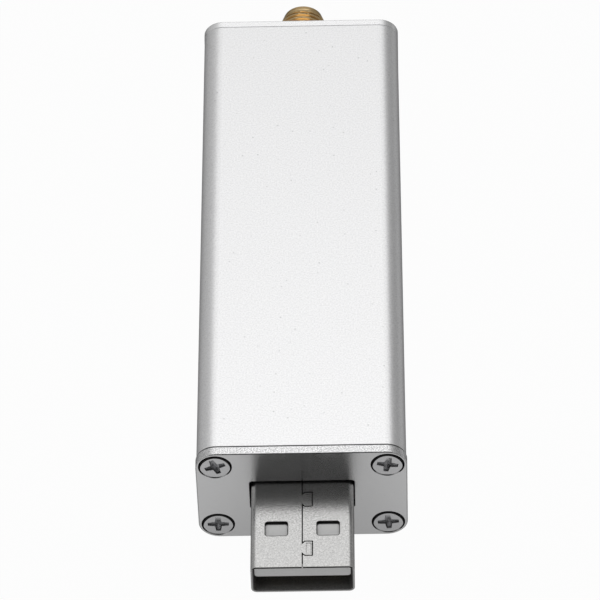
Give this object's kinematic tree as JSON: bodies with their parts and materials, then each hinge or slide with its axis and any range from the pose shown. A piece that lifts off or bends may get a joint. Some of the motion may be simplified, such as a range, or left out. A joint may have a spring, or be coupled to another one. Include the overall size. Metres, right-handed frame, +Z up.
{
  "type": "usb spectrum analyzer",
  "caption": "Pocket USB spectrum analyzer: extruded aluminium sleeve with screwed end plates, a USB-A plug at one end and a threaded coaxial RF input jack at the other.",
  "frame": {"origin": "on the surface the end plates' lower edges stand on, in the middle of the overall box", "axes": "+Y from the USB plug towards the RF jack, +X to the right seen from the plug's end, +Z up, with the plug's seam side up"},
  "size_m": [0.0248, 0.092, 0.0151],
  "materials": {
    "sleeve_aluminium": "bead-blasted and clear anodised",
    "plate_aluminium": "bead-blasted and clear anodised",
    "screw_steel": "zinc plated, satin",
    "board_laminate": "green solder mask",
    "plug_steel": "nickel plated, satin",
    "plug_plastic": "moulded, matt",
    "contact_gold": "gold flashed",
    "solder": "bright solder",
    "jack_gold": "gold plated, turned",
    "jack_dielectric": "white fluoropolymer",
    "shield_steel": "tin plated",
    "chip_moulding": "matt black moulding",
    "tinned_leads": "matt tin",
    "can_metal": "welded metal lid",
    "ferrite": "pressed ferrite",
    "tantalum_resin": "moulded resin",
    "capacitor_ceramic": "fired ceramic",
    "resistor_ceramic": "glazed film on ceramic"
  },
  "bodies": {
    "root": {"housing": "sleeve_aluminium", "front_plate": "plate_aluminium", "rear_plate": "plate_aluminium", "front_plate_screws": "screw_steel", "rear_plate_screws": "screw_steel", "circuit_board": "board_laminate", "usb_shell": "plug_steel", "usb_insulator": "plug_plastic", "usb_power_contacts": "contact_gold", "usb_data_contacts": "contact_gold", "usb_solder_joints": "solder", "rf_jack_body": "jack_gold", "rf_jack_dielectric": "jack_dielectric", "rf_jack_contact": "contact_gold", "rf_jack_solder": "solder", "shield_frame": "shield_steel", "shield_lid": "shield_steel", "microcontroller": "chip_moulding", "microcontroller_leads": "tinned_leads", "log_detector": "chip_moulding", "log_detector_leads": "tinned_leads", "voltage_regulators": "chip_moulding", "voltage_regulator_leads": "tinned_leads", "first_synthesizer": "chip_moulding", "second_synthesizer": "chip_moulding", "input_attenuator": "chip_moulding", "mixer": "chip_moulding", "reference_oscillator": "can_metal", "clock_crystal": "can_metal", "first_filter": "can_metal", "second_filter": "can_metal", "power_inductor": "ferrite", "tantalum_capacitor": "tantalum_resin", "tantalum_capacitor_ends": "tinned_leads", "ceramic_capacitors": "capacitor_ceramic", "ceramic_capacitor_ends": "tinned_leads", "chip_resistors": "resistor_ceramic", "chip_resistor_ends": "tinned_leads"}
  },
  "joints": []
}
